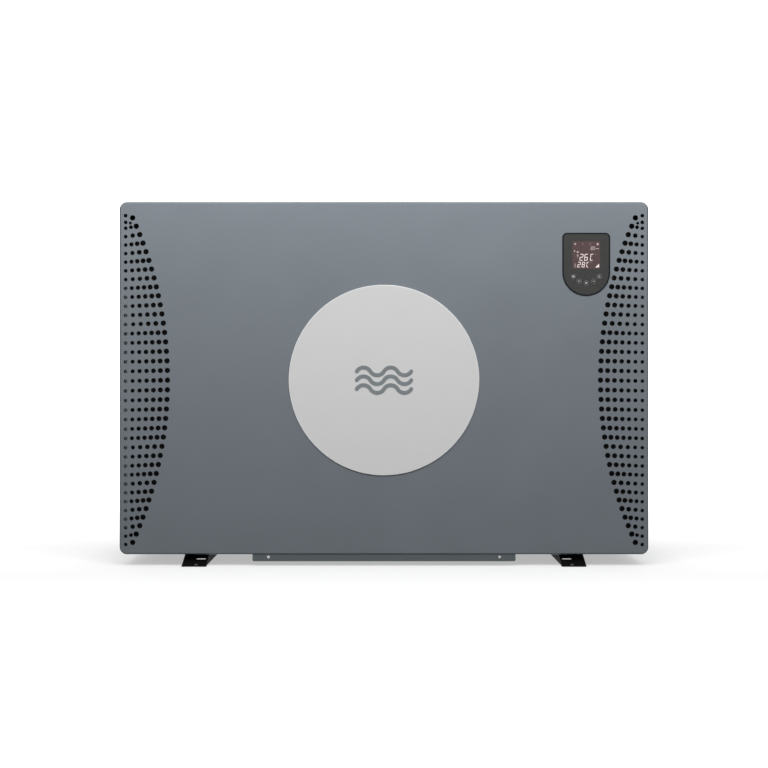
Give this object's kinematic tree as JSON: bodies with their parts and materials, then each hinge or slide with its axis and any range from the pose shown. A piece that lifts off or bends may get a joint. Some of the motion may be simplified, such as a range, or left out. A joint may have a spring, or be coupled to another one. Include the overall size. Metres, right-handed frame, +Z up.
{
  "type": "pool heat pump",
  "caption": "Air-source pool heat pump: perforated front panel with a central disc, keypad controller, fan, refrigerant circuit, water unions and anchor feet.",
  "frame": {"origin": "on the ground, in the middle of the whole footprint, water unions included", "axes": "+X to the right seen from the front, +Y from the front panel to the rear, +Z up"},
  "size_m": [0.962, 0.416, 0.662],
  "materials": {
    "panel_paint": "satin powder coat",
    "disc_plastic": "fine satin",
    "mark_ink": "satin",
    "strip_paint": "satin powder coat",
    "grille_wire": "satin",
    "zinc": "zinc plated",
    "black_plastic": "fine texture",
    "galvanised": "galvanised",
    "black_paint": "semi-gloss",
    "rubber": "matt",
    "bezel_plastic": "gloss",
    "face_plastic": "satin gloss",
    "display_glass": "tinted gloss",
    "board": "satin",
    "key_plastic": "satin gloss",
    "fan_plastic": "satin",
    "motor_paint": "satin",
    "coil_fins": "hydrophilic coat",
    "copper": "drawn copper",
    "brass": "machined",
    "pvc_white": "satin",
    "titanium": "drawn tube",
    "nut_plastic": "fine texture",
    "aluminium": "extruded"
  },
  "bodies": {
    "cabinet": {"front_panel": "panel_paint", "badge_disc": "disc_plastic", "wave_mark": "mark_ink", "front_strip": "strip_paint", "strip_screws": "zinc", "top_cover": "panel_paint", "left_side_panel": "panel_paint", "right_side_panel": "panel_paint", "terminal_cover": "panel_paint", "side_handles": "black_plastic", "rear_grille": "grille_wire", "rear_service_panel": "panel_paint", "cabinet_screws": "zinc", "corner_post": "galvanised", "base_pan": "black_paint", "drain_nozzle": "black_plastic", "foot_rail_left": "black_paint", "foot_rail_right": "black_paint", "foot_pads": "rubber", "foot_bolts": "zinc", "partition_plate": "galvanised", "fan_deck": "black_paint", "control_bezel": "bezel_plastic", "control_face": "face_plastic", "control_housing": "black_plastic", "display_module": "display_glass", "control_board": "board", "fan_motor": "motor_paint", "motor_bracket": "galvanised", "evaporator_fins": "coil_fins", "evaporator_plates": "galvanised", "evaporator_tubes": "copper", "compressor_shell": "black_paint", "compressor_feet": "rubber", "accumulator": "black_paint", "four_way_valve": "brass", "expansion_valve": "brass", "filter_drier": "copper", "refrigerant_pipes": "copper", "exchanger_shell": "pvc_white", "exchanger_lid": "black_plastic", "titanium_coil": "titanium", "flow_switch": "black_plastic", "union_tails": "pvc_white", "union_gaskets": "rubber", "electrical_box": "galvanised", "electrical_lid": "galvanised", "inverter_board": "board", "heat_sink": "aluminium", "cable_glands": "black_plastic"},
    "fan": {"fan_blades": "fan_plastic", "fan_nut": "zinc", "motor_shaft": "zinc"},
    "key_1": {"key_1": "key_plastic"},
    "key_2": {"key_2": "key_plastic"},
    "key_3": {"key_3": "key_plastic"},
    "key_4": {"key_4": "key_plastic"},
    "key_5": {"key_5": "key_plastic"},
    "inlet_nut": {"inlet_union_nut": "nut_plastic"},
    "outlet_nut": {"outlet_union_nut": "nut_plastic"}
  },
  "joints": [
    {"name": "fan_spin", "type": "hinge", "parent": "cabinet", "child": "fan", "pos_m": [0, -0.12, 0.338], "axis": [0, 1, 0], "continuous": true},
    {"name": "key_1_press", "type": "slide", "parent": "cabinet", "child": "key_1", "axis": [0, 1, 0], "range_m": [0, 0.0008], "stiffness_N_per_m": 600},
    {"name": "key_2_press", "type": "slide", "parent": "cabinet", "child": "key_2", "axis": [0, 1, 0], "range_m": [0, 0.0008], "stiffness_N_per_m": 600},
    {"name": "key_3_press", "type": "slide", "parent": "cabinet", "child": "key_3", "axis": [0, 1, 0], "range_m": [0, 0.0008], "stiffness_N_per_m": 600},
    {"name": "key_4_press", "type": "slide", "parent": "cabinet", "child": "key_4", "axis": [0, 1, 0], "range_m": [0, 0.0008], "stiffness_N_per_m": 600},
    {"name": "key_5_press", "type": "slide", "parent": "cabinet", "child": "key_5", "axis": [0, 1, 0], "range_m": [0, 0.0008], "stiffness_N_per_m": 600},
    {"name": "inlet_nut_turn", "type": "hinge", "parent": "cabinet", "child": "inlet_nut", "pos_m": [0.395, 0.176, 0.125], "axis": [0, 1, 0], "continuous": true},
    {"name": "outlet_nut_turn", "type": "hinge", "parent": "cabinet", "child": "outlet_nut", "pos_m": [0.395, 0.176, 0.385], "axis": [0, 1, 0], "continuous": true}
  ]
}
